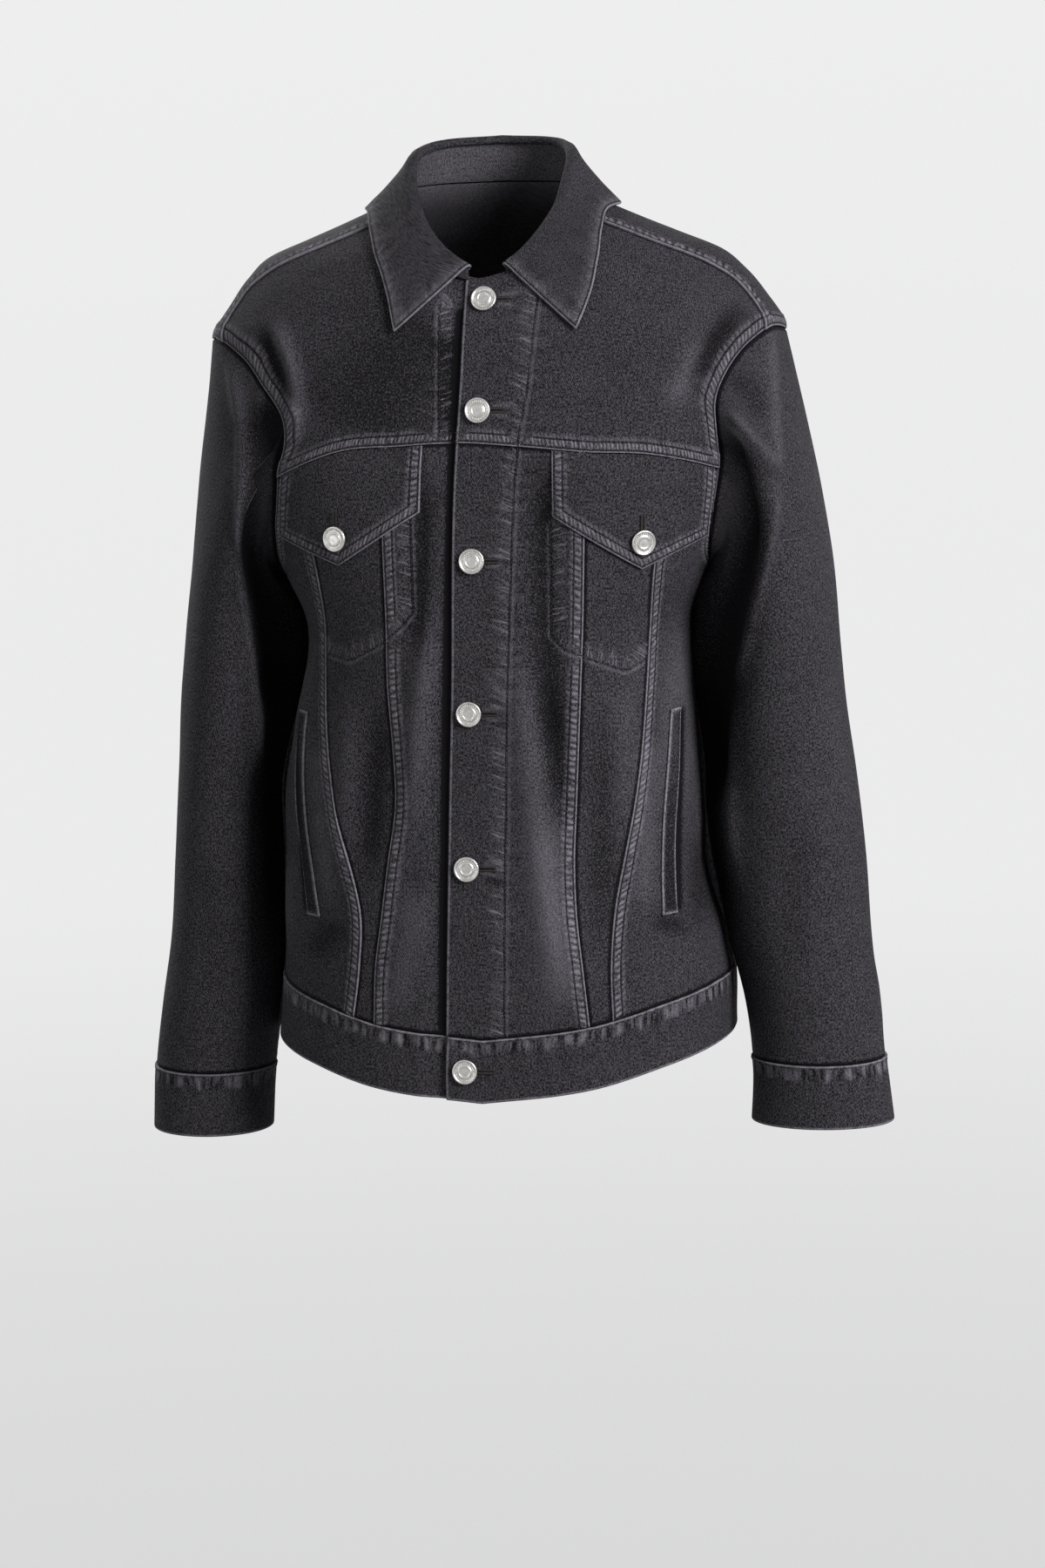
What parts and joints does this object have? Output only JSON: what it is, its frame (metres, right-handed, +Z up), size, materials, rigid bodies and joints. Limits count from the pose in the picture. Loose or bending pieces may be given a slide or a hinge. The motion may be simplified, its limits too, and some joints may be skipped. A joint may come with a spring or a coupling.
{
  "type": "denim jacket",
  "caption": "Hollow worn shape of a buttoned denim jacket with a spread collar, pointed chest pocket flaps, tapered seams, waistband and cuffs.",
  "frame": {"origin": "on the wearer's vertical axis at the height of the side of the neck, where the wearer's shoulders carry the jacket", "axes": "+Z up along the wearer, +X to the wearer's left, -Y to the wearer's front"},
  "size_m": [0.57, 0.2908, 0.7505],
  "materials": {
    "denim": "washed black twill, worn paler along seams and edges",
    "nickel": "satin nickel, lightly worn"
  },
  "bodies": {
    "root": {"back_yoke": "denim", "back_centre": "denim", "waistband": "denim", "collar_stand": "denim", "collar_fall": "denim", "back_side_left": "denim", "back_side_right": "denim", "front_yoke_left": "denim", "front_yoke_right": "denim", "front_centre_left": "denim", "front_centre_right": "denim", "front_middle_left": "denim", "front_middle_right": "denim", "front_side_left": "denim", "front_side_right": "denim", "flap_left": "denim", "flap_right": "denim", "welt_left": "denim", "welt_right": "denim", "sleeve_top_left": "denim", "sleeve_top_right": "denim", "sleeve_under_left": "denim", "sleeve_under_right": "denim", "cuff_left": "denim", "cuff_right": "denim", "button_1": "nickel", "button_2": "nickel", "button_3": "nickel", "button_4": "nickel", "button_5": "nickel", "button_6": "nickel", "flap_button_left": "nickel", "flap_button_right": "nickel"}
  },
  "joints": []
}
